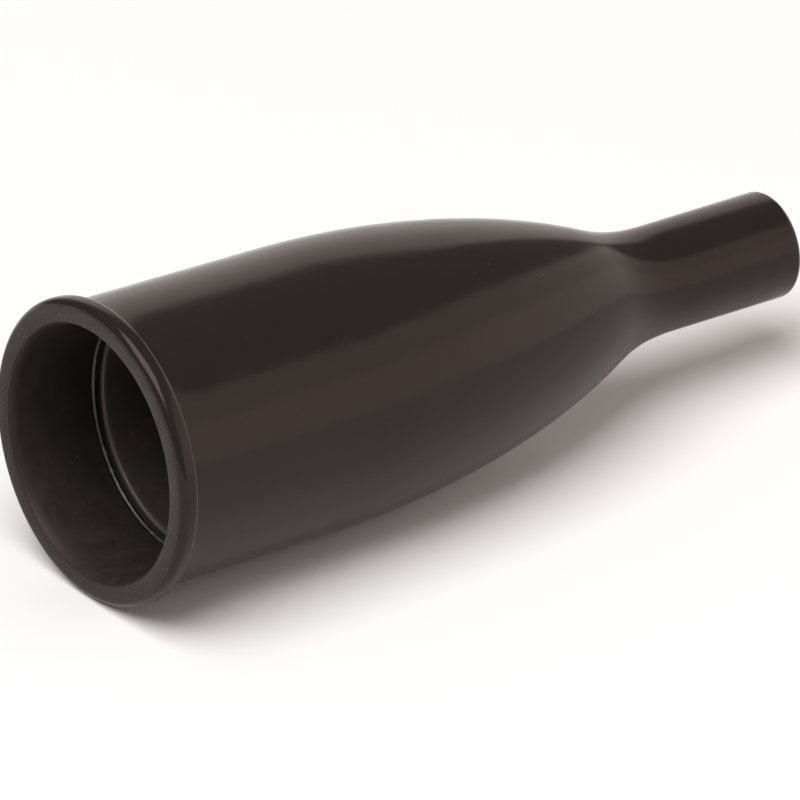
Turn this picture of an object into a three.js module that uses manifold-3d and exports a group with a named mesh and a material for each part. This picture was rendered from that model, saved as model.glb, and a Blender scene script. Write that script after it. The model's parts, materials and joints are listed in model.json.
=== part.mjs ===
// A hand-squeezed dust blower for bench work, in millimetres, +Z up.
//
// A moulded rubber sleeve does most of the job: a wide open mouth with a rolled lip, a nearly
// straight barrel to squeeze, a long taper and a short round spout. A valve cartridge sits a
// little way inside the mouth, behind a split snap ring: a cup whose end plate has a ring of air
// ports, and a thin rubber disc that floats on a headed pin on the far side of that plate.
// Squeezing presses the disc onto the plate and drives the air out through the spout, and letting
// go lifts the disc, so that fresh air enters at the mouth. A ridged bush in the spout makes the
// jet.
//
// Every piece is drawn about the blower's own axis, with s the distance from the lip's front face
// and r the radius. The whole blower then lies on its side: the axis runs along +X, from the mouth
// to the spout, and leans down by the small angle at which a blower on a table comes to rest. The
// origin is on the table, under the middle of the blower.

import * as THREE from "three";
import { mergeVertices } from "three/addons/utils/BufferGeometryUtils.js";
import Module from "manifold-3d";

const wasm = await Module();
wasm.setup();

// ---- driving dimensions -------------------------------------------------------------------

const SIDES = 32; // flats round every large turned piece, one of them facing straight down
const SMALL_SIDES = 24;
const GAP = 0.3; // between pieces that are pressed or rest together

const LENGTH = 120; // from the lip's front face to the spout's end
const WALL = 2.2;

const LIP_RADIUS = 22.4;
const LIP_CORNER = 1.3; // rounding of the lip's front outer edge
const LIP_CREST = 2; // where the lip's widest band ends
const LIP_BACK = 1.2; // rounding of the lip's back edge
const LIP_FOOT = { s: 3.3, r: 21.22 }; // the crease where the lip's back meets the barrel
const LIP_END = 8; // where the slight flare behind the lip has run out
const MOUTH_RADIUS = 19.1; // inner edge of the lip's flat face
const LEAD_IN = 1.5; // length of the funnel that leads into the bore

const BARREL_RADIUS = 21;
const SWELL = { s: 37, r: 20.6 }; // where the barrel starts to curve inwards
const FLANK = { s: 87, r: 10.6, slope: -0.44 }; // the taper's steepest place
const SPOUT_START = 100;
const SPOUT_RADIUS = 7.8;
const SPOUT_CORNER = 1;

const BORE_RADIUS = 18.5;
const RING_PLACE = 14.4; // middle of the snap ring's wire
const RING_WIRE = 0.4; // radius of that wire
const RING_RADIUS = 18.45; // from the axis to the middle of the wire
const RING_SPLIT = 3;

const CUP_FRONT = 15.1;
const CUP_BACK = 31.5;
const CUP_RADIUS = BORE_RADIUS - GAP;
const CUP_WALL = 1;
const PLATE_THICKNESS = 1.8;
const SEAT_HEIGHT = 0.6; // the two raised rings that the disc seals on
const PORTS = { count: 8, radius: 1.9, circle: 9.4 };
const STOP_RADIUS = 17.1; // the land in the sleeve that the cup is pushed up to

const DISC_RADIUS = 14.4;
const DISC_THICKNESS = 0.9;
const DISC_TRAVEL = 1.5;
const PIN = { shank: 1.5, collar: 2.4, head: 4.6, headThickness: 1.2, tail: 27.4 };
const CLIP = { outer: 4.6, thickness: 0.4, notches: 6, notchWidth: 0.8, notchDepth: 1.5 };

const BUSH = { start: 109.5, end: 119.2, entry: 4.6, jet: 1.5, throat: 116, ridges: 2 };

// ---- materials ------------------------------------------------------------------------------

const finish = (color, roughness, metalness = 0) =>
  new THREE.MeshStandardMaterial({ color, roughness, metalness });

const blackRubber = finish(0x1d1917, 0.5);
const discRubber = finish(0x2b2725, 0.6);
const blackedBrass = finish(0x1c1a19, 0.35, 0.8);
const blackPlastic = finish(0x151414, 0.3);
const blackedSteel = finish(0x26272b, 0.3, 0.9);
const nickel = finish(0xb4b0a8, 0.3, 1);
const springSteel = finish(0x8c8f94, 0.35, 1);

// ---- drawing helpers: outlines are lists of (s, r) points -------------------------------------

const at = (s, r) => new THREE.Vector2(s, r);

// An arc about (s, r), from one angle in degrees to another; 0 points along +s and 90 along +r.
function arc(s, r, radius, from, to, steps) {
  const [a, b] = [from, to].map(THREE.MathUtils.degToRad);
  return new THREE.EllipseCurve(s, r, radius, radius, a, b, a > b).getPoints(steps);
}

const bend = (a, b, c, d, steps) => new THREE.CubicBezierCurve(a, b, c, d).getPoints(steps);

// The same outline moved towards the axis by a wall's thickness, at right angles to itself.
function inwards(points, thickness) {
  return points.map((p, i) => {
    const before = points[Math.max(i - 1, 0)];
    const after = points[Math.min(i + 1, points.length - 1)];
    const along = after.clone().sub(before).normalize();
    return at(p.x + along.y * thickness, p.y - along.x * thickness);
  });
}

// Turns an outline about the blower's axis, so that the middles of the flats touch the true round.
// An outline that stays off the axis is closed first.
function turned(points, sides = SIDES) {
  const halfSide = Math.PI / sides;
  const reach = 1 / Math.cos(halfSide);
  const outline = points.map((p) => at(p.y * reach, p.x));
  if (outline[0].x > 0) outline.push(outline[0].clone());
  return new THREE.LatheGeometry(outline, sides, halfSide).rotateZ(-Math.PI / 2);
}

// A solid for cutting, from a closed geometry.
function solid(geometry) {
  const bare = geometry.clone().deleteAttribute("normal").deleteAttribute("uv");
  const merged = mergeVertices(bare, 1e-4);
  const vertProperties = merged.attributes.position.array;
  const triVerts = new Uint32Array(merged.index.array);
  return new wasm.Manifold(new wasm.Mesh({ numProp: 3, vertProperties, triVerts }));
}

function geometryOf(manifold) {
  const { vertProperties, triVerts } = manifold.getMesh();
  const geometry = new THREE.BufferGeometry();
  geometry.setAttribute("position", new THREE.BufferAttribute(vertProperties, 3));
  geometry.setIndex(new THREE.BufferAttribute(triVerts, 1));
  geometry.computeVertexNormals();
  return geometry;
}

// A round punch lying along the axis, for ports.
function punch(radius, from, to, y, z) {
  const shape = new THREE.CylinderGeometry(radius, radius, to - from, 16);
  return solid(shape.rotateZ(-Math.PI / 2).translate((from + to) / 2, y, z));
}

// The same cutter repeated evenly round the axis.
function roundTheAxis(count, makeCutter) {
  const angles = Array.from({ length: count }, (_, i) => (i * 2 * Math.PI) / count);
  return angles.map(makeCutter);
}

const cutAll = (body, cutters) => cutters.reduce((left, cutter) => left.subtract(cutter), body);

// ---- the sleeve -------------------------------------------------------------------------------

const barrelSlope = (SWELL.r - BARREL_RADIUS) / (SWELL.s - LIP_END);

// The lip: a flat face, a round outer edge, a steep back, and a slight flare down to the barrel.
function lipOutline() {
  return [
    ...arc(LIP_CORNER, LIP_RADIUS - LIP_CORNER, LIP_CORNER, 180, 90, 5),
    ...arc(LIP_CREST, LIP_RADIUS - LIP_BACK, LIP_BACK, 90, 10, 4),
    ...bend(
      at(LIP_FOOT.s, LIP_FOOT.r),
      at(LIP_FOOT.s + 0.7, LIP_FOOT.r - 0.12),
      at(LIP_END - 2, BARREL_RADIUS - 2 * barrelSlope),
      at(LIP_END, BARREL_RADIUS),
      5,
    ),
  ];
}

// The barrel's swell and the taper, down to the spout's corner.
function taperOutline() {
  const swellPull = 15.3;
  const flankPull = 15.6;
  const [neckPull, spoutPull] = [3.6, 6.5];
  const flank = at(FLANK.s, FLANK.r);
  return [
    ...bend(
      at(SWELL.s, SWELL.r),
      at(SWELL.s + swellPull, SWELL.r + swellPull * barrelSlope),
      at(FLANK.s - flankPull, FLANK.r - flankPull * FLANK.slope),
      flank,
      15,
    ),
    ...bend(
      flank,
      at(FLANK.s + neckPull, FLANK.r + neckPull * FLANK.slope),
      at(SPOUT_START - spoutPull, SPOUT_RADIUS),
      at(SPOUT_START, SPOUT_RADIUS),
      7,
    ).slice(1),
  ];
}

// The bore seen from the mouth: a funnel, the snap ring's groove, and the stop behind the cup.
function boreOutline() {
  const groove = RING_RADIUS + RING_WIRE + GAP;
  const grooveFront = RING_PLACE - RING_WIRE - GAP;
  const grooveBack = RING_PLACE + RING_WIRE + GAP;
  const stop = CUP_BACK + GAP;
  return [
    at(0, MOUTH_RADIUS),
    at(LEAD_IN / 3, MOUTH_RADIUS - 0.3),
    at(LEAD_IN, BORE_RADIUS),
    at(grooveFront, BORE_RADIUS),
    at(grooveFront, groove),
    at(grooveBack, groove),
    at(grooveBack, BORE_RADIUS),
    at(stop, BORE_RADIUS),
    at(stop, STOP_RADIUS),
    at(stop + 2, STOP_RADIUS),
  ];
}

function sleeve() {
  const outside = taperOutline();
  const cornerR = SPOUT_RADIUS - SPOUT_CORNER;
  return turned([
    ...lipOutline(),
    ...outside,
    ...arc(LENGTH - SPOUT_CORNER, cornerR, SPOUT_CORNER, 90, 0, 4),
    at(LENGTH, SPOUT_RADIUS - WALL),
    ...inwards(outside, WALL).reverse(),
    ...boreOutline().reverse(),
  ]);
}

// ---- the valve cartridge ------------------------------------------------------------------------

// A split ring of round spring wire that keeps the cup in its pocket.
function snapRing() {
  const ring = solid(turned(arc(RING_PLACE, RING_RADIUS, RING_WIRE, 360, 0, 8).slice(1)));
  const split = new THREE.BoxGeometry(4, 4, RING_SPLIT).translate(RING_PLACE, -RING_RADIUS, 0);
  return geometryOf(ring.subtract(solid(split)));
}

// The cup: a thin skirt with a rounded rim, an end plate, and two raised seats behind the plate.
function valveCup() {
  const rim = CUP_WALL / 2;
  const plateFront = CUP_BACK - PLATE_THICKNESS;
  const seatTop = CUP_BACK + SEAT_HEIGHT;
  const [hole, boss, bossHeight] = [PIN.shank + GAP, 5, 0.5];
  const seat = (r, width) => [
    at(CUP_BACK, r + width / 2),
    at(seatTop, r + width / 2 - 0.1),
    at(seatTop, r - width / 2 + 0.1),
    at(CUP_BACK, r - width / 2),
  ];
  const body = turned([
    ...arc(CUP_FRONT + rim, CUP_RADIUS - rim, rim, 180, 90, 3),
    at(CUP_BACK - 0.6, CUP_RADIUS),
    at(CUP_BACK, CUP_RADIUS - 0.6),
    ...seat(13.1, 1),
    ...seat(5.8, 0.9),
    at(CUP_BACK, hole),
    at(plateFront - bossHeight, hole),
    at(plateFront - bossHeight, boss - 0.3),
    at(plateFront, boss),
    ...arc(plateFront - 1, CUP_RADIUS - CUP_WALL - 1, 1, 0, 90, 3),
    ...arc(CUP_FRONT + rim, CUP_RADIUS - rim, rim, 270, 180, 3).slice(0, -1),
  ]);
  const ports = roundTheAxis(PORTS.count, (angle) =>
    punch(
      PORTS.radius,
      plateFront - 1,
      seatTop + 1,
      PORTS.circle * Math.cos(angle),
      PORTS.circle * Math.sin(angle),
    ),
  );
  return geometryOf(cutAll(solid(body), ports));
}

// The floating disc, drawn closed against the cup's seats.
const discFront = CUP_BACK + SEAT_HEIGHT + GAP;
const discBack = discFront + DISC_THICKNESS;

function valveDisc() {
  const hole = PIN.collar + GAP;
  return turned([
    at(discFront, hole),
    at(discFront, DISC_RADIUS - 0.2),
    at(discFront + 0.2, DISC_RADIUS),
    at(discBack - 0.2, DISC_RADIUS),
    at(discBack, DISC_RADIUS - 0.2),
    at(discBack, hole),
  ]);
}

// The pin: its head stops the disc, its collar guides it, and its shank goes through the plate.
function guidePin() {
  const collarStart = CUP_BACK + GAP;
  const headStart = discBack + DISC_TRAVEL + GAP;
  const headEnd = headStart + PIN.headThickness;
  return turned(
    [
      at(PIN.tail, 0),
      at(PIN.tail, PIN.shank - 0.4),
      at(PIN.tail + 0.4, PIN.shank),
      at(collarStart, PIN.shank),
      at(collarStart, PIN.collar),
      at(headStart, PIN.collar),
      at(headStart, PIN.head),
      at(headStart + 0.5, PIN.head),
      at(headEnd - 0.2, PIN.head - 0.9),
      at(headEnd, PIN.head - 2),
      at(headEnd, 0),
    ],
    SMALL_SIDES,
  );
}

// The push-on clip in front of the plate: a thin spring washer whose bore is cut into teeth.
function pushOnClip() {
  const bossFront = CUP_BACK - PLATE_THICKNESS - 0.5;
  const back = bossFront - GAP;
  const front = back - CLIP.thickness;
  const hole = PIN.shank + GAP;
  const washer = turned(
    [at(front, hole), at(front, CLIP.outer), at(back, CLIP.outer), at(back, hole)],
    SMALL_SIDES,
  );
  const notchLength = CLIP.notchDepth + hole;
  const notches = roundTheAxis(CLIP.notches, (angle) =>
    solid(
      new THREE.BoxGeometry(2, notchLength, CLIP.notchWidth)
        .translate((front + back) / 2, notchLength / 2, 0)
        .rotateX(angle + Math.PI / CLIP.notches / 2),
    ),
  );
  return geometryOf(cutAll(solid(washer), notches));
}

// ---- the spout's bush ---------------------------------------------------------------------------

// A ridged tube whose bore narrows from a funnel to the jet.
function jetBush() {
  const outer = SPOUT_RADIUS - WALL - GAP;
  const root = outer - 0.4;
  const pitch = (BUSH.end - BUSH.start - 4) / BUSH.ridges;
  const ridges = Array.from({ length: BUSH.ridges }, (_, i) => {
    const s = BUSH.start + 1 + i * pitch;
    return [at(s, root), at(s + pitch * 0.75, outer), at(s + pitch * 0.85, outer)];
  });
  return turned([
    at(BUSH.start, root),
    ...ridges.flat(),
    at(BUSH.end - 3, root),
    at(BUSH.end - 2.6, outer),
    at(BUSH.end, outer),
    at(BUSH.end, BUSH.jet + 0.5),
    at(BUSH.end - 0.5, BUSH.jet),
    at(BUSH.throat, BUSH.jet),
    at(BUSH.start, BUSH.entry),
  ]);
}

// ---- assembly -----------------------------------------------------------------------------------

const blower = new THREE.Group();

function add(name, geometry, material) {
  const mesh = new THREE.Mesh(geometry, material);
  mesh.name = name;
  blower.add(mesh);
}

add("rubber_sleeve", sleeve(), blackRubber);
add("snap_ring", snapRing(), blackedSteel);
add("valve_cup", valveCup(), blackedBrass);
add("valve_disc", valveDisc(), discRubber);
add("guide_pin", guidePin(), nickel);
add("push_on_clip", pushOnClip(), springSteel);
add("jet_bush", jetBush(), blackPlastic);

// The brass cup is the heavy piece, so the blower lies steadily on its lip and on the swell of its
// barrel, and its axis leans down to the spout.
const lean = Math.max(
  ...taperOutline().map((p) => Math.atan2(p.y - LIP_RADIUS, p.x - LIP_CREST)),
);
blower.rotation.y = -lean;

const box = new THREE.Box3().setFromObject(blower, true);
const middle = box.getCenter(new THREE.Vector3());
blower.position.set(-middle.x, -middle.y, -box.min.z);

const part = new THREE.Group();
part.add(blower);

export default part;
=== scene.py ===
"""A hand-squeezed dust blower for bench work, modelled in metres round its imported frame.

Every piece is turned about the blower's own axis. Sizes are given as (s, r) in millimetres: s is
the distance from the lip's front face towards the spout, and r the distance from the axis.
"""

import json
from math import cos, pi, radians, sin

import bmesh
import bpy
from bpy.props import FloatProperty, FloatVectorProperty, IntProperty, PointerProperty
from mathutils import Matrix, Vector


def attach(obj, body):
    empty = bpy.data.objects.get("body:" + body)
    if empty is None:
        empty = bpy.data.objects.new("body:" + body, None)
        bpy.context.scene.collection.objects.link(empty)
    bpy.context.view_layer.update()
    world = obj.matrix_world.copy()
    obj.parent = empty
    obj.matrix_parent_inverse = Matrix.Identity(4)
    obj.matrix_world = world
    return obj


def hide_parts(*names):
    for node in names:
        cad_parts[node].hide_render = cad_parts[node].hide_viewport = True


bl_info = {
    "name": "Dust Blower",
    "version": (1, 0, 0),
    "blender": (4, 5, 0),
    "location": "View3D > Sidebar > Dust Blower",
    "description": "Models a rubber dust blower with its valve and sets it on a studio table",
    "category": "Add Mesh",
}

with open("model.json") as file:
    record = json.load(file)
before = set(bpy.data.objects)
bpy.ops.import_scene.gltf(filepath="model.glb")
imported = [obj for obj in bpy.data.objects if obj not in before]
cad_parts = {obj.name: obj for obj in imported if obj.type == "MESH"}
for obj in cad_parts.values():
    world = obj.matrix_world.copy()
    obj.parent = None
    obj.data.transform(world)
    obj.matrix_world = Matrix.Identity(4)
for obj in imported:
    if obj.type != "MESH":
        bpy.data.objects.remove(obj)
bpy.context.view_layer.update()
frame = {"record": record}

MM = 0.001

# ---- where the blower lies ----------------------------------------------------------------------


def end_centre(mount_name):
    """The middle of an end face. A mount's own point lies beside the axis, towards +Y."""
    for mount in frame["record"]["mounts"]:
        if mount["name"] == mount_name:
            x, _, z = mount["pos_m"]
            return Vector((x, 0.0, z))
    raise ValueError(f"the record has no mount named {mount_name}")


MOUTH = end_centre("mouth_rim")
SPOUT = end_centre("spout_end")
LENGTH = (SPOUT - MOUTH).length / MM
AXIS = (SPOUT - MOUTH).normalized()
SIDE = Vector((0.0, 1.0, 0.0))
ABOVE = SIDE.cross(-AXIS).normalized()
ALONG_AXIS = Matrix((-ABOVE, SIDE, AXIS)).transposed()  # local Z runs along the blower


def at(s, r, turn=0.0):
    """The point at (s, r), with turn in radians from straight above towards +Y."""
    return MOUTH + MM * (s * AXIS + r * cos(turn) * ABOVE + r * sin(turn) * SIDE)


# ---- sizes and colours a user may change --------------------------------------------------------


def size(name, description, millimetres):
    """A length property, given in millimetres."""
    return FloatProperty(
        name=name,
        description=description,
        default=millimetres * MM,
        min=0.0,
        precision=5,
        subtype="DISTANCE",
        unit="LENGTH",
    )


def tint(name, description, colour):
    """A colour property in linear values."""
    return FloatVectorProperty(
        name=name,
        description=description,
        default=colour,
        min=0.0,
        max=1.0,
        size=3,
        subtype="COLOR",
    )


class SleeveSizes(bpy.types.PropertyGroup):
    """Sizes of the moulded sleeve."""

    lip_radius: size("Lip radius", "Largest radius of the rolled lip", 22.4)
    lip_corner: size("Lip corner", "Rounding of the lip's front outer edge", 1.3)
    mouth_radius: size("Mouth radius", "Inner edge of the lip's flat face", 19.1)
    bore_radius: size("Bore radius", "Straight bore behind the mouth's funnel", 18.5)
    barrel_radius: size("Barrel radius", "Outside of the barrel behind the lip", 21.0)
    spout_radius: size("Spout radius", "Outside of the spout", 7.8)
    wall: size("Wall", "Thickness of the barrel, the taper and the spout", 2.2)
    sides: IntProperty(name="Sides", description="Facets round the sleeve", default=192, min=32)


class ValveSizes(bpy.types.PropertyGroup):
    """Sizes of the valve cartridge in the mouth."""

    ring_wire: size("Ring wire", "Radius of the snap ring's wire", 0.4)
    ring_split: size("Ring split", "Opening between the snap ring's ends", 3.0)
    cup_radius: size("Cup radius", "Outside of the valve cup", 18.2)
    port_radius: size("Port radius", "Radius of each air port", 1.9)
    port_count: IntProperty(name="Ports", description="Air ports in the plate", default=8, min=1)
    disc_radius: size("Disc radius", "Outside of the valve disc", 14.4)
    jet_radius: size("Jet radius", "Bore of the jet in the spout's bush", 1.5)


class Finishes(bpy.types.PropertyGroup):
    """Colours of the finishes."""

    rubber: tint("Rubber", "Moulded black rubber", (0.0165, 0.0131, 0.0121))
    rubber_gloss: tint("Rubber gloss", "Tint of the rubber's reflections", (1.0, 0.83, 0.77))
    dust: tint("Dust", "Fine dust caught on the rubber", (0.26, 0.2, 0.17))
    # Painted light: the bore's colour is lighter than the outer rubber, standing in for light
    # inside the mouth.
    bore: tint("Bore", "Dull rubber inside the mouth", (0.027, 0.022, 0.0205))
    disc: tint("Disc", "Sheet rubber of the valve disc", (0.024, 0.021, 0.019))
    wire: tint("Snap ring", "Oil-blackened spring wire", (0.085, 0.082, 0.086))
    cup: tint("Valve cup", "Blacked brass", (0.052, 0.043, 0.04))
    plastic: tint("Jet bush", "Black moulded plastic", (0.008, 0.008, 0.009))
    nickel: tint("Guide pin", "Nickel plate", (0.62, 0.59, 0.54))
    steel: tint("Push-on clip", "Bright spring steel", (0.42, 0.43, 0.45))


class StudioSettings(bpy.types.PropertyGroup):
    """The table, the lights and the camera."""

    table: tint("Table", "Colour of the table", (0.9, 0.9, 0.9))
    key_tint: tint("Key tint", "Colour of the overhead softbox", (1.0, 0.99, 0.985))
    fill_tint: tint("Fill tint", "Colour of the upright panels and the room", (1.0, 0.88, 0.83))
    surround: FloatProperty(name="Surround", description="Glow of the room", default=0.2)
    key: FloatProperty(name="Key", description="Radiance of the overhead softbox", default=3.8)
    wall_low: FloatProperty(
        name="Wall, low", description="Radiance of the long panel's lower half", default=1.07
    )
    wall_high: FloatProperty(
        name="Wall, high", description="Radiance of the long panel's upper half", default=0.78
    )
    back: FloatProperty(name="Back", description="Radiance of the panel behind", default=0.72)
    azimuth: FloatProperty(
        name="Azimuth",
        description="Direction of the camera, 0 on the -Y side and 90 on the +X side",
        default=radians(-36.756),
        subtype="ANGLE",
        unit="ROTATION",
    )
    elevation: FloatProperty(
        name="Elevation",
        description="Height of the camera above the table's plane, as an angle",
        default=radians(29.216),
        subtype="ANGLE",
        unit="ROTATION",
    )
    distance: size("Distance", "From the camera to the blower", 3364.5)
    lens: FloatProperty(
        name="Lens",
        description="Focal length on a 36 mm sensor",
        default=1075.35,
        unit="CAMERA",
    )


# ---- outlines -----------------------------------------------------------------------------------


def arc(s, r, radius, start, end, steps):
    """Points of an arc about (s, r), with 0 degrees along the axis and 90 away from it."""
    angles = [radians(start + (end - start) * i / steps) for i in range(steps + 1)]
    return [(s + radius * cos(a), r + radius * sin(a)) for a in angles]


def sweep(start, pull_start, pull_end, end, steps):
    """Points of a smooth curve between two points, given the two points that pull on it."""
    points = []
    for i in range(steps + 1):
        t = i / steps
        weights = ((1 - t) ** 3, 3 * t * (1 - t) ** 2, 3 * t * t * (1 - t), t**3)
        corners = (start, pull_start, pull_end, end)
        points.append(tuple(sum(w * c[k] for w, c in zip(weights, corners)) for k in (0, 1)))
    return points


def inwards(points, thickness):
    """The same outline, moved towards the axis at right angles to itself."""
    moved = []
    for i, (s, r) in enumerate(points):
        before, after = points[max(i - 1, 0)], points[min(i + 1, len(points) - 1)]
        along = Vector((after[0] - before[0], after[1] - before[1])).normalized()
        moved.append((s + along.y * thickness, r - along.x * thickness))
    return moved


# ---- modelling ----------------------------------------------------------------------------------


def select_only(piece):
    """Leaves one object selected and active."""
    bpy.ops.object.select_all(action="DESELECT")
    piece.select_set(True)
    bpy.context.view_layer.objects.active = piece


def close_shell():
    """In edit mode: merges doubles and turns every face outwards."""
    bpy.ops.mesh.select_all(action="SELECT")
    bpy.ops.mesh.remove_doubles(threshold=MM / 1000)
    bpy.ops.mesh.normals_make_consistent(inside=False)


def lathe(name, outline, sides, centre=(0.0, 0.0)):
    """Draws an outline point by point and spins it about the axis, or about one beside it.

    An outline that stays off the axis is closed first.
    """
    beside = MM * (centre[0] * SIDE + centre[1] * ABOVE)
    points = [at(s, r) + beside for s, r in outline]
    if outline[0][1] > 0.0:
        points.append(points[0])
    bpy.ops.object.select_all(action="DESELECT")
    bpy.ops.mesh.primitive_plane_add(size=MM, location=points[0])
    piece = bpy.context.object
    piece.name = piece.data.name = name
    bpy.ops.object.mode_set(mode="EDIT")
    bpy.ops.mesh.select_mode(type="VERT")
    bpy.ops.mesh.merge(type="CENTER")
    for here, there in zip(points, points[1:]):
        bpy.ops.mesh.extrude_vertices_move(TRANSFORM_OT_translate={"value": there - here})
    bpy.ops.mesh.select_all(action="SELECT")
    bpy.ops.mesh.spin(
        steps=sides, angle=2 * pi, center=MOUTH + beside, axis=AXIS, use_auto_merge=True
    )
    close_shell()
    bpy.ops.object.mode_set(mode="OBJECT")
    return piece


def ease_edges(piece, width, segments=2):
    """Rounds every sharp edge by a width in millimetres."""
    select_only(piece)
    bevel = piece.modifiers.new("Eased edges", "BEVEL")
    bevel.limit_method = "ANGLE"
    bevel.angle_limit = radians(38)
    bevel.width = width * MM
    bevel.segments = segments
    bpy.ops.object.modifier_apply(modifier=bevel.name)


def cut_away(piece, cutters):
    """Cuts every cutter out of a piece and throws the cutters away."""
    bpy.ops.object.select_all(action="DESELECT")
    for cutter in cutters:
        cutter.select_set(True)
    bpy.context.view_layer.objects.active = cutters[0]
    bpy.ops.object.join()
    select_only(piece)
    cut = piece.modifiers.new("Cut", "BOOLEAN")
    cut.operation = "DIFFERENCE"
    cut.solver = "EXACT"
    cut.use_self = True
    cut.object = cutters[0]
    bpy.ops.object.modifier_apply(modifier=cut.name)
    bpy.data.objects.remove(cutters[0])
    bpy.ops.object.mode_set(mode="EDIT")
    close_shell()
    bpy.ops.object.mode_set(mode="OBJECT")


def pick_vertices(piece, wanted):
    """In edit mode: selects the vertices whose world place passes a test."""
    bpy.ops.mesh.select_mode(type="VERT")
    bpy.ops.mesh.select_all(action="DESELECT")
    shell = bmesh.from_edit_mesh(piece.data)
    for vertex in shell.verts:
        vertex.select = wanted(piece.matrix_world @ vertex.co)
    shell.select_flush(True)
    bmesh.update_edit_mesh(piece.data)


def pick_faces(piece, wanted):
    """In edit mode: selects the faces whose world middle and normal pass a test."""
    bpy.ops.mesh.select_mode(type="FACE")
    bpy.ops.mesh.select_all(action="DESELECT")
    shell = bmesh.from_edit_mesh(piece.data)
    turn = piece.matrix_world.to_3x3()
    for face in shell.faces:
        middle = piece.matrix_world @ face.calc_center_median()
        face.select_set(wanted(middle, turn @ face.normal))
    bmesh.update_edit_mesh(piece.data)


def blower_place(point):
    """A world point as (s, r) in millimetres."""
    offset = (point - MOUTH) / MM
    s = offset.dot(AXIS)
    return s, (offset - s * AXIS).length


def finish_piece(piece, material, body, node, smooth=30):
    """Sets a piece's place into its mesh, gives it its finish and puts it on its body."""
    select_only(piece)
    bpy.ops.object.transform_apply(location=True, rotation=True, scale=True)
    bpy.ops.object.shade_smooth_by_angle(angle=radians(smooth))
    if not piece.data.materials:
        piece.data.materials.append(material)
    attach(piece, body)
    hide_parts(node)
    bpy.ops.object.select_all(action="DESELECT")


# ---- finishes -----------------------------------------------------------------------------------


class Finish:
    """A material under construction, whose patterns read the piece's own coordinates in metres."""

    def __init__(self, name, **sockets):
        self.material = bpy.data.materials.new(name)
        self.material.use_nodes = True
        self.nodes = self.material.node_tree.nodes
        self.links = self.material.node_tree.links
        self.shader = self.nodes["Principled BSDF"]
        for socket, value in sockets.items():
            self.shader.inputs[socket.replace("_", " ")].default_value = value
        place = self.nodes.new("ShaderNodeTexCoord")
        centre = self.nodes.new("ShaderNodeMapping")
        centre.label = "Blower axis"
        # Turns the pattern so that its X runs along the blower from the lip's face.
        to_axis = Matrix((AXIS, SIDE, ABOVE))
        centre.inputs["Rotation"].default_value = to_axis.to_euler()
        centre.inputs["Location"].default_value = -(to_axis @ MOUTH)
        self.links.new(place.outputs["Object"], centre.inputs["Vector"])
        self.place = centre.outputs["Vector"]

    def node(self, kind, label, **sockets):
        """Adds a labelled node and sets or links its inputs by name."""
        made = self.nodes.new(kind)
        made.label = label
        for socket, value in sockets.items():
            self.feed(made.inputs[socket.replace("_", " ")], value)
        return made

    def feed(self, socket, value):
        """Links an output to a socket, or sets the socket to a value."""
        if isinstance(value, bpy.types.NodeSocket):
            self.links.new(value, socket)
        else:
            socket.default_value = value

    def grain(self, label, grain_size, detail=3.0, roughness=0.55, vector=None):
        """Cloudy noise with features of about the given size in millimetres."""
        noise = self.node(
            "ShaderNodeTexNoise",
            label,
            Vector=vector or self.place,
            Scale=1.0 / (grain_size * MM),
            Detail=detail,
            Roughness=roughness,
        )
        return noise.outputs["Fac"]

    def stretched(self, label, along, across):
        """The place, scaled so that a pattern is drawn out along or round the axis."""
        scale = self.node("ShaderNodeMapping", label, Vector=self.place)
        scale.inputs["Scale"].default_value = (1.0 / along, 1.0 / across, 1.0 / across)
        return scale.outputs["Vector"]

    def between(self, label, value, from_low, from_high, to_low, to_high):
        """A value moved from one range to another, and kept inside it."""
        mapped = self.node(
            "ShaderNodeMapRange",
            label,
            Value=value,
            From_Min=from_low,
            From_Max=from_high,
            To_Min=to_low,
            To_Max=to_high,
        )
        return mapped.outputs["Result"]

    def blend(self, label, amount, first, second):
        """Two colours mixed by an amount."""
        mix = self.nodes.new("ShaderNodeMix")
        mix.data_type = "RGBA"
        mix.label = label
        self.feed(mix.inputs["Factor"], amount)
        for socket, colour in ((mix.inputs[6], first), (mix.inputs[7], second)):
            is_link = isinstance(colour, bpy.types.NodeSocket)
            self.feed(socket, colour if is_link else (*colour, 1.0))
        return mix.outputs[2]

    def arithmetic(self, label, operation, first, second):
        """Arithmetic on two values."""
        maths = self.nodes.new("ShaderNodeMath")
        maths.operation = operation
        maths.label = label
        self.feed(maths.inputs[0], first)
        self.feed(maths.inputs[1], second)
        return maths.outputs[0]

    def specks(self, label, spacing, radius, share):
        """Round specks: their usual spacing and radius in millimetres, and the share kept."""
        cells = self.node(
            "ShaderNodeTexVoronoi", label, Vector=self.place, Scale=1.0 / (spacing * MM)
        )
        reach = radius / spacing
        near = self.between(
            label + " edge", cells.outputs["Distance"], reach * 0.6, reach, 1.0, 0.0
        )
        lottery = self.node("ShaderNodeSeparateColor", label + " lottery")
        self.feed(lottery.inputs[0], cells.outputs["Color"])
        kept = self.arithmetic(label + " kept", "LESS_THAN", lottery.outputs[0], share)
        return self.arithmetic(label, "MULTIPLY", near, kept)

    def relief(self, *layers):
        """Stacks bumps, each given as (label, height, depth in millimetres)."""
        normal = None
        for label, height, depth in layers:
            bump = self.node("ShaderNodeBump", label, Height=height, Distance=depth * MM)
            if normal:
                self.links.new(normal, bump.inputs["Normal"])
            normal = bump.outputs["Normal"]
        self.links.new(normal, self.shader.inputs["Normal"])

    def paint(self, colour=None, roughness=None):
        """Feeds the shader's colour and roughness."""
        if colour is not None:
            self.feed(self.shader.inputs["Base Color"], colour)
        if roughness is not None:
            self.feed(self.shader.inputs["Roughness"], roughness)


def scaled(colour, factor):
    """A colour made lighter or darker."""
    return tuple(min(channel * factor, 1.0) for channel in colour)


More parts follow.
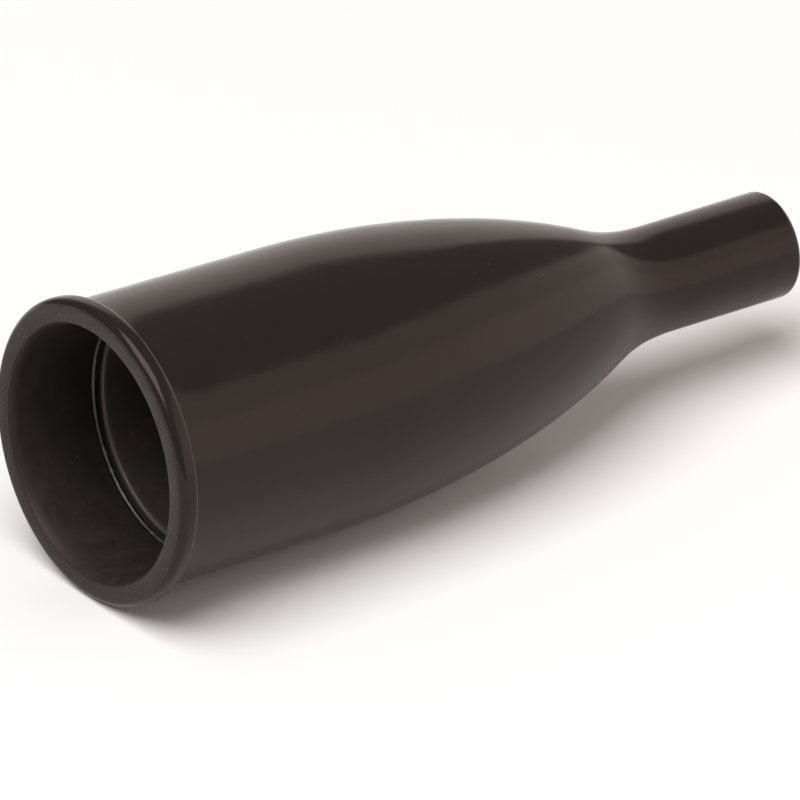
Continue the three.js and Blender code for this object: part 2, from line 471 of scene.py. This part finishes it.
def moulded_rubber(finishes):
    """Semi-gloss black rubber: a soft mottle, mould waviness, fine grain and caught dust."""
    base = tuple(finishes.rubber)
    finish = Finish(
        "Moulded rubber",
        Specular_IOR_Level=0.22,
        Specular_Tint=(*finishes.rubber_gloss, 1.0),
    )
    mottle = finish.grain("Mottle", 9.0, detail=4.0)
    grain = finish.grain("Moulding grain", 0.35, detail=2.0)
    wave = finish.grain("Mould waviness", 14.0, detail=1.0, roughness=0.3)
    cast = finish.blend("Rubber grain", grain, scaled(base, 0.8), scaled(base, 1.2))
    body = finish.blend(
        "Rubber mottle",
        finish.between("Mottle range", mottle, 0.35, 0.65, 0.0, 0.5),
        cast,
        scaled(base, 1.15),
    )
    dust = finish.specks("Dust", 1.7, 0.08, 0.12)
    lint = finish.specks("Coarse dust", 6.5, 0.17, 0.25)
    caught = finish.arithmetic("All dust", "MAXIMUM", dust, lint)
    colour = finish.blend(
        "Dusty rubber",
        finish.arithmetic("Dust strength", "MULTIPLY", caught, 0.7),
        body,
        tuple(finishes.dust),
    )
    cloud = finish.grain("Handling haze", 4.0, detail=5.0, roughness=0.6)
    rough = finish.between("Gloss range", cloud, 0.3, 0.7, 0.12, 0.2)
    finish.paint(colour, finish.arithmetic("Dull dust", "MAXIMUM", rough, caught))
    finish.relief(
        ("Waviness", wave, 0.06),
        ("Grain", grain, 0.0035),
        ("Dust relief", caught, 0.01),
    )
    return finish.material


def trimmed_rubber(finishes):
    """The lip's flat face, where the sprue was trimmed: duller, with a fine even speckle."""
    base = tuple(finishes.rubber)
    finish = Finish(
        "Trimmed rubber",
        Specular_IOR_Level=0.22,
        Specular_Tint=(*finishes.rubber_gloss, 1.0),
    )
    speckle = finish.grain("Trim speckle", 0.34, detail=3.0, roughness=0.75)
    blotch = finish.grain("Trim blotch", 2.4, detail=3.0)
    body = finish.blend(
        "Speckled rubber",
        finish.between("Speckle range", speckle, 0.38, 0.68, 0.0, 1.0),
        scaled(base, 0.55),
        scaled(base, 2.4),
    )
    dust = finish.specks("Dust", 1.1, 0.1, 0.22)
    colour = finish.blend("Dusty trim", dust, body, tuple(finishes.dust))
    rough = finish.between("Trim gloss", blotch, 0.3, 0.7, 0.34, 0.46)
    finish.paint(colour, rough)
    finish.relief(("Blotch", blotch, 0.03), ("Speckle", speckle, 0.012))
    return finish.material


def bore_rubber_painted_lighter(finishes):
    """The inside of the mouth: its colour painted lighter than the outer rubber as painted light
    inside the mouth, duller from mould talc, with faint streaks round the bore.
    """
    # Painted light: this base is lighter than the outer rubber's, standing in for light inside the
    # mouth.
    base = tuple(finishes.bore)
    finish = Finish(
        "Bore rubber painted lighter",
        Specular_IOR_Level=0.2,
        Specular_Tint=(*finishes.rubber_gloss, 1.0),
    )
    talc = finish.grain("Talc", 2.6, detail=5.0, roughness=0.62)
    streaks = finish.grain(
        "Core pin streaks", 0.5, detail=2.0, vector=finish.stretched("Round the bore", 1.0, 30.0)
    )
    colour = finish.blend(
        "Talc on rubber",
        finish.between("Talc range", talc, 0.35, 0.72, 0.0, 1.0),
        scaled(base, 0.85),
        scaled(base, 1.2),
    )
    dust = finish.specks("Dust", 1.9, 0.07, 0.2)
    finish.paint(
        finish.blend("Dusty bore", dust, colour, tuple(finishes.dust)),
        finish.between("Dull range", talc, 0.3, 0.7, 0.42, 0.58),
    )
    finish.relief(("Streaks", streaks, 0.004), ("Talc", talc, 0.01))
    return finish.material


def sheet_rubber(finishes):
    """Matt sheet rubber with a faint bloom and a fine calendered grain."""
    base = tuple(finishes.disc)
    finish = Finish("Sheet rubber", Specular_IOR_Level=0.4)
    bloom = finish.grain("Bloom", 3.0, detail=5.0, roughness=0.65)
    grain = finish.grain("Calender grain", 0.18, detail=2.0)
    colour = finish.blend(
        "Bloomed rubber",
        finish.between("Bloom range", bloom, 0.4, 0.75, 0.0, 1.0),
        base,
        scaled(base, 2.0),
    )
    finish.paint(colour, finish.between("Matt range", bloom, 0.3, 0.7, 0.5, 0.66))
    finish.relief(("Grain", grain, 0.006))
    return finish.material


def blacked_wire(finishes):
    """Oil-blackened spring wire: a bluish sheen, with die lines and rubbed patches."""
    base = tuple(finishes.wire)
    finish = Finish("Blacked spring wire", Metallic=1.0)
    patch = finish.grain("Rubbed patches", 1.6, detail=4.0)
    lines = finish.grain(
        "Die lines", 0.12, detail=2.0, vector=finish.stretched("Across the wire", 0.2, 4.0)
    )
    colour = finish.blend(
        "Blacked and rubbed",
        finish.between("Rub range", patch, 0.45, 0.7, 0.0, 1.0),
        base,
        scaled(base, 1.9),
    )
    finish.paint(colour, finish.between("Oil sheen", patch, 0.3, 0.7, 0.42, 0.55))
    finish.relief(("Die lines", lines, 0.002))
    return finish.material


def blacked_brass(finishes):
    """Turned brass under a chemical black: tool rings, the black rubbed thin in places, and a
    painted highlight band along the front rim.
    """
    base = tuple(finishes.cup)
    finish = Finish("Blacked brass", Metallic=0.15, Specular_IOR_Level=0.35)
    rings = finish.grain(
        "Tool rings", 0.2, detail=2.0, vector=finish.stretched("Rings on the skirt", 1.0, 40.0)
    )
    worn = finish.grain("Rubbed black", 1.8, detail=5.0, roughness=0.62)
    colour = finish.blend(
        "Black over brass",
        finish.between("Wear range", worn, 0.52, 0.78, 0.0, 0.55),
        base,
        (0.11, 0.08, 0.055),
    )
    # Painted highlight: the front rim is painted lighter, fading out over about a millimetre into
    # the cup, in place of the light the rim catches.
    along = finish.node("ShaderNodeSeparateXYZ", "Along the cup", Vector=finish.place)
    rim = finish.between(
        "Rim highlight mask", along.outputs["X"], (CUP_FRONT + 0.3) * MM, (CUP_FRONT + 1.1) * MM, 1.0, 0.0
    )
    # The painted highlight's colour, lighter than the blacked brass.
    colour = finish.blend("Painted highlight on rim", rim, colour, (0.085, 0.07, 0.066))
    finish.paint(colour, finish.between("Satin range", worn, 0.3, 0.7, 0.34, 0.48))
    finish.relief(("Tool rings", rings, 0.003))
    return finish.material


def nickel_plate(finishes):
    """Nickel plate over turning rings, with a few dull spots."""
    base = tuple(finishes.nickel)
    finish = Finish("Nickel plate", Metallic=1.0)
    spots = finish.grain("Dull spots", 0.7, detail=4.0)
    rings = finish.grain(
        "Turning rings", 0.12, detail=1.0, vector=finish.stretched("Rings on the pin", 1.0, 60.0)
    )
    colour = finish.blend(
        "Spotted nickel",
        finish.between("Spot range", spots, 0.55, 0.75, 0.0, 1.0),
        base,
        scaled(base, 0.7),
    )
    finish.paint(colour, finish.between("Polish", spots, 0.3, 0.7, 0.16, 0.34))
    finish.relief(("Turning rings", rings, 0.002))
    return finish.material


def spring_steel(finishes):
    """Bright rolled strip: a straight grain and a thin film of oil stain."""
    base = tuple(finishes.steel)
    finish = Finish("Spring steel", Metallic=1.0)
    rolled = finish.node("ShaderNodeMapping", "Rolling direction", Vector=finish.place)
    rolled.inputs["Scale"].default_value = (1.0, 12.0, 0.6)
    strip = finish.grain("Rolled grain", 0.35, detail=3.0, vector=rolled.outputs["Vector"])
    stain = finish.grain("Oil stain", 1.4, detail=4.0)
    colour = finish.blend(
        "Stained steel",
        finish.between("Stain range", stain, 0.5, 0.72, 0.0, 1.0),
        base,
        (0.22, 0.2, 0.17),
    )
    finish.paint(colour, finish.between("Strip sheen", strip, 0.3, 0.7, 0.22, 0.4))
    finish.relief(("Rolled grain", strip, 0.002))
    return finish.material


def satin_plastic(finishes):
    """Black moulded plastic with a fine spark-eroded texture."""
    base = tuple(finishes.plastic)
    finish = Finish("Black plastic", Specular_IOR_Level=0.5)
    texture = finish.grain("Spark texture", 0.12, detail=2.0)
    flow = finish.grain("Flow marks", 3.5, detail=2.0)
    colour = finish.blend("Flow colour", flow, scaled(base, 0.8), scaled(base, 1.5))
    finish.paint(colour, finish.between("Satin range", flow, 0.3, 0.7, 0.28, 0.4))
    finish.relief(("Spark texture", texture, 0.004))
    return finish.material


def table_laminate(colour):
    """A matt pale table top with a barely visible mottle."""
    finish = Finish("Pale table", Specular_IOR_Level=0.1, Roughness=0.9)
    mottle = finish.grain("Table mottle", 30.0, detail=3.0)
    finish.paint(finish.blend("Table colour", mottle, scaled(colour, 0.995), colour))
    return finish.material


# ---- the sleeve ---------------------------------------------------------------------------------

LIP_CREST = 2.0  # where the lip's widest band ends
LIP_BACK = 1.2  # rounding of the lip's back edge
LIP_FOOT = (3.3, 21.22)  # the crease where the lip's back meets the barrel
LIP_END = 8.0  # where the slight flare behind the lip has run out
LEAD_IN = 1.5  # length of the funnel inside the mouth
SWELL = (37.0, 20.6)  # where the barrel starts to curve inwards
FLANK = (87.0, 10.6)  # the taper's steepest place
FLANK_SLOPE = -0.44
SPOUT_START = 100.0
SPOUT_CORNER = 1.0
RING_PLACE = 14.4
RING_RADIUS = 18.45
CUP_FRONT = 15.1
CUP_BACK = 31.5
CUP_WALL = 1.0
PLATE = 1.8
STOP_RADIUS = 17.1
SEAT_HEIGHT = 0.6
SEATS = ((13.1, 1.0), (5.8, 0.9))  # radius and width of each raised ring
PORT_CIRCLE = 9.4
BOSS_RADIUS = 5.0
BOSS_HEIGHT = 0.5
PIN_HOLE = 1.8  # radius through the plate, and through the clip
DISC_HOLE = 2.7
DISC_THICKNESS = 0.9
DISC_TRAVEL = 1.5
PIN_TAIL = 27.4  # where the pin starts
PIN_SHANK = 1.5
PIN_COLLAR = 2.4
PIN_HEAD = 4.6
PIN_HEAD_THICKNESS = 1.2
CLIP_RADIUS = 4.6
CLIP_THICKNESS = 0.4
CLIP_TEETH = 6
BUSH_START = 109.5
BUSH_END = 119.2
BUSH_THROAT = 116.0  # where the bush has narrowed to the jet
BUSH_ENTRY = 4.6
BUSH_RIDGES = 2
RIDGE_HEIGHT = 0.4
GAP = 0.3
SNUG = 0.06  # gap on the sides where the ring sits against its groove


def lip_outline(lip, corner, barrel):
    """The lip's round edge, its steep back and the slight flare behind it."""
    slope = (SWELL[1] - barrel) / (SWELL[0] - LIP_END)
    return [
        *arc(corner, lip - corner, corner, 180, 90, 12),
        *arc(LIP_CREST, lip - LIP_BACK, LIP_BACK, 90, 10, 10),
        (3.13, 21.3),
        *sweep(
            LIP_FOOT,
            (LIP_FOOT[0] + 0.7, LIP_FOOT[1] - 0.12),
            (LIP_END - 2.0, barrel - 2.0 * slope),
            (LIP_END, barrel),
            12,
        ),
    ]


def taper_outline(barrel, spout):
    """The barrel, its swell and the taper, down to where the spout starts."""
    slope = (SWELL[1] - barrel) / (SWELL[0] - LIP_END)
    swell_pull, flank_pull, neck_pull, spout_pull = 15.3, 15.6, 3.6, 6.5
    swell = sweep(
        SWELL,
        (SWELL[0] + swell_pull, SWELL[1] + swell_pull * slope),
        (FLANK[0] - flank_pull, FLANK[1] - flank_pull * FLANK_SLOPE),
        FLANK,
        40,
    )
    neck = sweep(
        FLANK,
        (FLANK[0] + neck_pull, FLANK[1] + neck_pull * FLANK_SLOPE),
        (SPOUT_START - spout_pull, spout),
        (SPOUT_START, spout),
        20,
    )
    return swell + neck[1:]


def bore_outline(mouth, bore, wire):
    """The bore seen from the mouth: a funnel, the ring's groove and the cup's stop."""
    groove = RING_RADIUS + wire + SNUG
    front, back = RING_PLACE - wire - SNUG, RING_PLACE + wire + 2.0 * SNUG
    stop = CUP_BACK + GAP
    return [
        (0.0, mouth),
        (LEAD_IN / 3, mouth - 0.3),
        (LEAD_IN, bore),
        (front, bore),
        (front, groove),
        (back, groove),
        (back, bore),
        (stop, bore),
        (stop, STOP_RADIUS),
        (stop + 2.0, STOP_RADIUS),
    ]


class BLOWER_OT_sleeve(bpy.types.Operator):
    """Model the moulded rubber sleeve: lip, barrel, taper and spout"""

    bl_idname = "blower.sleeve"
    bl_label = "Rubber Sleeve"

    def execute(self, context):
        blower = context.scene.dust_blower
        sizes, valve = blower.sleeve, blower.valve
        barrel, spout = sizes.barrel_radius / MM, sizes.spout_radius / MM
        wall = sizes.wall / MM
        outside = taper_outline(barrel, spout)
        outline = [
            *lip_outline(sizes.lip_radius / MM, sizes.lip_corner / MM, barrel),
            *outside,
            *arc(LENGTH - SPOUT_CORNER, spout - SPOUT_CORNER, SPOUT_CORNER, 90, 0, 8),
            (LENGTH, spout - wall),
            *reversed(inwards(outside, wall)),
            *reversed(
                bore_outline(
                    sizes.mouth_radius / MM, sizes.bore_radius / MM, valve.ring_wire / MM
                )
            ),
        ]
        piece = lathe("Rubber_sleeve", outline, sizes.sides)
        ease_edges(piece, 0.12)
        piece.data.materials.append(moulded_rubber(blower.finishes))
        piece.data.materials.append(trimmed_rubber(blower.finishes))
        piece.data.materials.append(bore_rubber_painted_lighter(blower.finishes))
        select_only(piece)
        bpy.ops.object.mode_set(mode="EDIT")
        for slot, belongs in ((1, is_lip_face), (2, is_bore)):
            pick_faces(piece, belongs)
            piece.active_material_index = slot
            bpy.ops.object.material_slot_assign()
        bpy.ops.object.mode_set(mode="OBJECT")
        finish_piece(piece, None, "blower", "rubber_sleeve")
        return {"FINISHED"}


def is_lip_face(middle, normal):
    """Whether a face belongs to the lip's flat front."""
    return normal.dot(-AXIS) > 0.9 and blower_place(middle)[0] < 0.5


def is_bore(middle, normal):
    """Whether a face lies inside the mouth, the barrel or the taper."""
    away = middle - MOUTH
    away -= away.dot(AXIS) * AXIS
    inside = normal.dot(away) < 0.0 or abs(normal.dot(AXIS)) > 0.5
    return inside and blower_place(middle)[1] < 19.05 and blower_place(middle)[0] < LENGTH - 1.0


# ---- the valve cartridge ------------------------------------------------------------------------


class BLOWER_OT_snap_ring(bpy.types.Operator):
    """Model the split snap ring of round wire that holds the valve cup"""

    bl_idname = "blower.snap_ring"
    bl_label = "Snap Ring"

    def execute(self, context):
        blower = context.scene.dust_blower
        wire, split = blower.valve.ring_wire, blower.valve.ring_split
        bpy.ops.object.select_all(action="DESELECT")
        bpy.ops.mesh.primitive_torus_add(
            major_segments=240,
            minor_segments=20,
            major_radius=RING_RADIUS * MM,
            minor_radius=wire,
            location=at(RING_PLACE, 0.0),
            rotation=ALONG_AXIS.to_euler(),
        )
        piece = bpy.context.object
        piece.name = piece.data.name = "Snap_ring"
        bpy.ops.object.mode_set(mode="EDIT")
        middle = at(RING_PLACE, 0.0)

        def in_split(point):
            offset = point - middle
            return offset.y < 0.0 and abs(offset.dot(ABOVE)) < split / 2

        pick_vertices(piece, in_split)
        bpy.ops.mesh.delete(type="VERT")
        for end in (1, -1):
            self.round_end(piece, middle, split, wire, end)
        close_shell()
        bpy.ops.object.mode_set(mode="OBJECT")
        finish_piece(piece, blacked_wire(blower.finishes), "blower", "snap_ring")
        return {"FINISHED"}

    def round_end(self, piece, middle, split, wire, end):
        """Closes one cut end of the wire with a small dome."""

        def on_this_end(point):
            offset = point - middle
            height = end * offset.dot(ABOVE)
            return offset.y < 0.0 and 0.0 < height < split / 2 + 0.7 * MM

        pick_vertices(piece, on_this_end)
        bpy.ops.mesh.select_mode(type="EDGE")
        shell = bmesh.from_edit_mesh(piece.data)
        for edge in shell.edges:
            edge.select_set(edge.select and edge.is_boundary)
        bmesh.update_edit_mesh(piece.data)
        towards = -end * ABOVE
        for step, shrink in ((0.3, 0.92), (0.2, 0.75), (0.12, 0.5)):
            bpy.ops.mesh.extrude_edges_move(
                TRANSFORM_OT_translate={"value": step * wire * towards}
            )
            bpy.ops.transform.resize(value=(shrink, shrink, shrink))
        bpy.ops.mesh.edge_face_add()


class BLOWER_OT_valve_cup(bpy.types.Operator):
    """Model the valve cup: a skirt, an end plate with air ports, and two raised seats"""

    bl_idname = "blower.valve_cup"
    bl_label = "Valve Cup"

    def execute(self, context):
        blower = context.scene.dust_blower
        valve = blower.valve
        radius = valve.cup_radius / MM
        rim = CUP_WALL / 2
        front = CUP_BACK - PLATE
        boss_front = front - BOSS_HEIGHT
        outline = [
            *arc(CUP_FRONT + rim, radius - rim, rim, 180, 90, 6),
            (CUP_BACK - 0.6, radius),
            (CUP_BACK, radius - 0.6),
            *self.seat(*SEATS[0]),
            *self.seat(*SEATS[1]),
            (CUP_BACK, PIN_HOLE),
            (boss_front, PIN_HOLE),
            (boss_front, BOSS_RADIUS - 0.3),
            (front, BOSS_RADIUS),
            *arc(front - 1.0, radius - CUP_WALL - 1.0, 1.0, 0, 90, 6),
            *arc(CUP_FRONT + rim, radius - rim, rim, 270, 180, 6)[:-1],
        ]
        piece = lathe("Valve_cup", outline, 160)
        ease_edges(piece, 0.08)
        cut_away(piece, self.port_cutters(valve, front))
        finish_piece(
            piece, blacked_brass(blower.finishes), "blower", "valve_cup"
        )
        return {"FINISHED"}

    def seat(self, radius, width):
        """A raised ring behind the plate, with its edges broken."""
        top = CUP_BACK + SEAT_HEIGHT
        outer, inner = radius + width / 2, radius - width / 2
        return [
            (CUP_BACK, outer),
            (top - 0.12, outer - 0.05),
            (top, outer - 0.2),
            (top, inner + 0.2),
            (top - 0.12, inner + 0.05),
            (CUP_BACK, inner),
        ]

    def port_cutters(self, valve, front):
        """Round cutters whose ends flare, so that each port comes out countersunk."""
        port, flare = valve.port_radius / MM, 0.25
        outline = [
            (front - 1.0, 0.0),
            (front - 1.0, port + flare + 1.0),
            (front + flare, port),
            (CUP_BACK - flare, port),
            (CUP_BACK + 1.0, port + flare + 1.0),
            (CUP_BACK + 1.0, 0.0),
        ]
        cutters = []
        for i in range(valve.port_count):
            turn = 2 * pi * i / valve.port_count
            centre = (PORT_CIRCLE * cos(turn), PORT_CIRCLE * sin(turn))
            cutters.append(lathe("Port_cutter", outline, 32, centre))
        return cutters


class BLOWER_OT_valve_disc(bpy.types.Operator):
    """Model the thin rubber disc that floats behind the plate"""

    bl_idname = "blower.valve_disc"
    bl_label = "Valve Disc"

    def execute(self, context):
        blower = context.scene.dust_blower
        radius = blower.valve.disc_radius / MM
        front = CUP_BACK + SEAT_HEIGHT + GAP
        back = front + DISC_THICKNESS
        dish = back - 0.12
        outline = [
            (front, DISC_HOLE),
            (front, radius),
            (back, radius),
            (back, 9.0),
            (dish, 8.6),
            (dish, 4.4),
            (back, 4.0),
            (back, DISC_HOLE),
        ]
        piece = lathe("Valve_disc", outline, 128)
        ease_edges(piece, 0.15, segments=3)
        finish_piece(piece, sheet_rubber(blower.finishes), "disc", "valve_disc")
        return {"FINISHED"}


class BLOWER_OT_guide_pin(bpy.types.Operator):
    """Model the headed pin that guides the disc and stops its lift"""

    bl_idname = "blower.guide_pin"
    bl_label = "Guide Pin"

    def execute(self, context):
        blower = context.scene.dust_blower
        collar = CUP_BACK + GAP
        head = CUP_BACK + SEAT_HEIGHT + GAP + DISC_THICKNESS + DISC_TRAVEL + GAP
        head_end = head + PIN_HEAD_THICKNESS
        outline = [
            (PIN_TAIL, 0.0),
            (PIN_TAIL, PIN_SHANK - 0.5),
            (PIN_TAIL + 0.4, PIN_SHANK),
            (collar, PIN_SHANK),
            (collar, PIN_COLLAR),
            (head, PIN_COLLAR),
            (head, PIN_HEAD),
            (head + 0.5, PIN_HEAD),
            *sweep(
                (head + 0.55, PIN_HEAD - 0.05),
                (head_end - 0.3, PIN_HEAD - 0.5),
                (head_end, 3.0),
                (head_end, 0.9),
                8,
            ),
            (head_end - 0.15, 0.5),
            (head_end - 0.15, 0.0),
        ]
        piece = lathe("Guide_pin", outline, 64)
        ease_edges(piece, 0.08)
        finish_piece(piece, nickel_plate(blower.finishes), "blower", "guide_pin")
        return {"FINISHED"}


class BLOWER_OT_push_on_clip(bpy.types.Operator):
    """Model the toothed spring washer that holds the pin"""

    bl_idname = "blower.push_on_clip"
    bl_label = "Push-on Clip"

    def execute(self, context):
        blower = context.scene.dust_blower
        back = CUP_BACK - PLATE - BOSS_HEIGHT - GAP
        front = back - CLIP_THICKNESS
        steps = (PIN_HOLE, 2.5, 3.2, CLIP_RADIUS)
        outline = [(front, r) for r in steps] + [(back, r) for r in reversed(steps)]
        piece = lathe("Push_on_clip", outline, 96)
        cut_away(piece, self.notch_cutters((front + back) / 2))
        select_only(piece)
        bpy.ops.object.mode_set(mode="EDIT")
        for reach, lift in ((2.9, 0.08), (2.2, 0.14)):
            pick_vertices(piece, lambda point: blower_place(point)[1] < reach)
            bpy.ops.transform.translate(value=-lift * MM * AXIS)
        bpy.ops.object.mode_set(mode="OBJECT")
        finish_piece(
            piece, spring_steel(blower.finishes), "blower", "push_on_clip"
        )
        return {"FINISHED"}

    def notch_cutters(self, middle):
        """Bars with round inner ends that cut the washer's bore into teeth."""
        cutters = []
        for i in range(CLIP_TEETH):
            turn = 2 * pi * i / CLIP_TEETH
            outwards = cos(turn) * ABOVE + sin(turn) * SIDE
            across = AXIS.cross(outwards)
            bpy.ops.object.select_all(action="DESELECT")
            place = at(middle, 2.2, turn)
            bpy.ops.mesh.primitive_cube_add(size=MM, location=place)
            bar = bpy.context.object
            stretch = Matrix((outwards * 1.4, across * 0.8, AXIS * 2.0)).transposed().to_4x4()
            bar.matrix_world = Matrix.Translation(place) @ stretch
            bpy.ops.mesh.primitive_cylinder_add(
                vertices=20,
                radius=0.4 * MM,
                depth=2.1 * MM,
                location=at(middle, 2.9, turn),
                rotation=ALONG_AXIS.to_euler(),
            )
            cutters += [bar, bpy.context.object]
        return cutters


class BLOWER_OT_jet_bush(bpy.types.Operator):
    """Model the ridged bush in the spout that makes the jet"""

    bl_idname = "blower.jet_bush"
    bl_label = "Jet Bush"

    def execute(self, context):
        blower = context.scene.dust_blower
        jet = blower.valve.jet_radius / MM
        outer = (blower.sleeve.spout_radius - blower.sleeve.wall) / MM - GAP
        root = outer - RIDGE_HEIGHT
        end = BUSH_END
        pitch = (BUSH_END - BUSH_START - 4.0) / BUSH_RIDGES
        outline = [(BUSH_START, root)]
        for i in range(BUSH_RIDGES):
            s = BUSH_START + 1.0 + i * pitch
            outline += [(s, root), (s + pitch * 0.75, outer), (s + pitch * 0.85, outer)]
        outline += [
            (end - 3.0, root),
            (end - 2.6, outer),
            (end, outer),
            (end, 3.4),
            *arc(end - 0.9, 3.4, 0.9, 0, -60, 4)[1:],
            (end - 1.4, jet + 0.25),
            *arc(end - 1.7, jet + 0.3, 0.3, 330, 270, 3),
            (BUSH_THROAT, jet),
            (BUSH_START, BUSH_ENTRY),
        ]
        piece = lathe("Jet_bush", outline, 96)
        ease_edges(piece, 0.08)
        finish_piece(piece, satin_plastic(blower.finishes), "blower", "jet_bush")
        return {"FINISHED"}


# ---- the studio ---------------------------------------------------------------------------------

TABLE_SIZE = 14.0  # metres
CAMERA_AIM = (-6.258, -1.271, 13.883)  # the middle of the view, in millimetres
SENSOR_WIDTH = 36.0
WATTS_PER_RADIANCE = 4.0  # for each square metre of a panel


def towards(azimuth, elevation=0.0):
    """A direction, with azimuth 0 on the -Y side and 90 on the +X side."""
    a, e = radians(azimuth), radians(elevation)
    return Vector((sin(a) * cos(e), -cos(a) * cos(e), sin(e)))


class BLOWER_OT_studio(bpy.types.Operator):
    """Set the pale table, the soft panels and the camera"""

    bl_idname = "blower.studio"
    bl_label = "Studio"

    def execute(self, context):
        studio = context.scene.dust_blower.studio
        self.add_table(studio)
        self.add_surround(context, studio)
        self.add_panel("Key", towards(-76, 65) * 1.5, (1.3, 1.3), studio.key, studio.key_tint)
        fill = studio.fill_tint
        wall, back = (-1.0, 5.67), (-0.75, 0.75)
        self.add_upright("Wall_low", 40, 1.0, wall, (0.0, 0.45), studio.wall_low, fill)
        self.add_upright("Wall_high", 40, 1.0, wall, (0.45, 0.9), studio.wall_high, fill)
        self.add_upright("Back_panel", 149, 1.5, back, (0.0, 1.0), studio.back, fill)
        self.add_upright("Back_fade", 149, 1.5, back, (1.0, 1.18), studio.back * 0.3, fill)
        self.add_camera(context, studio)
        return {"FINISHED"}

    def add_table(self, studio):
        """A wide table top at the height that the blower stands on."""
        bpy.ops.object.select_all(action="DESELECT")
        bpy.ops.mesh.primitive_grid_add(x_subdivisions=4, y_subdivisions=4, size=TABLE_SIZE)
        table = bpy.context.object
        table.name = table.data.name = "Table"
        table.data.materials.append(table_laminate(tuple(studio.table)))

    def add_surround(self, context, studio):
        """An even glow from the room."""
        world = bpy.data.worlds.new("Studio")
        world.use_nodes = True
        glow = world.node_tree.nodes["Background"]
        glow.inputs["Color"].default_value = (*studio.fill_tint, 1.0)
        glow.inputs["Strength"].default_value = studio.surround
        context.scene.world = world

    def add_panel(self, name, place, extent, radiance, colour):
        """A soft rectangular light that faces the blower."""
        facing = place.to_track_quat("Z", "Y").to_euler()
        bpy.ops.object.light_add(type="AREA", location=place, rotation=facing)
        panel = bpy.context.object
        panel.name = panel.data.name = name
        panel.data.shape = "RECTANGLE"
        panel.data.size, panel.data.size_y = extent
        panel.data.color = colour
        panel.data.energy = WATTS_PER_RADIANCE * radiance * extent[0] * extent[1]
        panel.visible_camera = False
        return panel

    def add_upright(self, name, azimuth, distance, across, heights, radiance, colour):
        """A light that stands upright, given how far it reaches to each side and upwards."""
        facing = towards(azimuth)
        sideways = towards(azimuth + 90)
        middle = sum(across) / 2
        place = facing * distance + sideways * middle
        place.z = sum(heights) / 2
        extent = (across[1] - across[0], heights[1] - heights[0])
        panel = self.add_panel(name, place, extent, radiance, colour)
        panel.rotation_euler = facing.to_track_quat("Z", "Y").to_euler()

    def add_camera(self, context, studio):
        """A long lens, looking down at the blower from beside its mouth."""
        aim = Vector(CAMERA_AIM) * MM
        back = Vector(
            (
                sin(studio.azimuth) * cos(studio.elevation),
                -cos(studio.azimuth) * cos(studio.elevation),
                sin(studio.elevation),
            )
        )
        bpy.ops.object.camera_add(
            location=aim + back * studio.distance,
            rotation=back.to_track_quat("Z", "Y").to_euler(),
        )
        camera = bpy.context.object
        camera.name = camera.data.name = "Camera"
        camera.data.sensor_width = SENSOR_WIDTH
        camera.data.lens = studio.lens
        context.scene.camera = camera
        context.scene.view_settings.view_transform = "Standard"


# ---- the add-on ---------------------------------------------------------------------------------


class BlowerSettings(bpy.types.PropertyGroup):
    """Everything a user may change about the blower and its studio."""

    sleeve: PointerProperty(type=SleeveSizes)
    valve: PointerProperty(type=ValveSizes)
    finishes: PointerProperty(type=Finishes)
    studio: PointerProperty(type=StudioSettings)


STEPS = (
    BLOWER_OT_sleeve,
    BLOWER_OT_snap_ring,
    BLOWER_OT_valve_cup,
    BLOWER_OT_valve_disc,
    BLOWER_OT_guide_pin,
    BLOWER_OT_push_on_clip,
    BLOWER_OT_jet_bush,
    BLOWER_OT_studio,
)


class BLOWER_PT_panel(bpy.types.Panel):
    """Lists the blower's pieces and settings"""

    bl_idname = "BLOWER_PT_panel"
    bl_label = "Dust Blower"
    bl_space_type = "VIEW_3D"
    bl_region_type = "UI"
    bl_category = "Dust Blower"

    def draw(self, context):
        column = self.layout.column(align=True)
        for step in STEPS:
            column.operator(step.bl_idname)
        settings = context.scene.dust_blower
        for group in (settings.sleeve, settings.valve, settings.finishes, settings.studio):
            box = self.layout.box()
            for name in group.__annotations__:
                box.prop(group, name)


CLASSES = (
    SleeveSizes,
    ValveSizes,
    Finishes,
    StudioSettings,
    BlowerSettings,
    *STEPS,
    BLOWER_PT_panel,
)


def register():
    for cls in CLASSES:
        bpy.utils.register_class(cls)
    bpy.types.Scene.dust_blower = PointerProperty(type=BlowerSettings)


def unregister():
    del bpy.types.Scene.dust_blower
    for cls in reversed(CLASSES):
        bpy.utils.unregister_class(cls)


def main():
    """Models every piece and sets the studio."""
    register()
    bpy.ops.blower.sleeve()
    bpy.ops.blower.snap_ring()
    bpy.ops.blower.valve_cup()
    bpy.ops.blower.valve_disc()
    bpy.ops.blower.guide_pin()
    bpy.ops.blower.push_on_clip()
    bpy.ops.blower.jet_bush()
    bpy.ops.blower.studio()


if __name__ == "__main__":
    main()
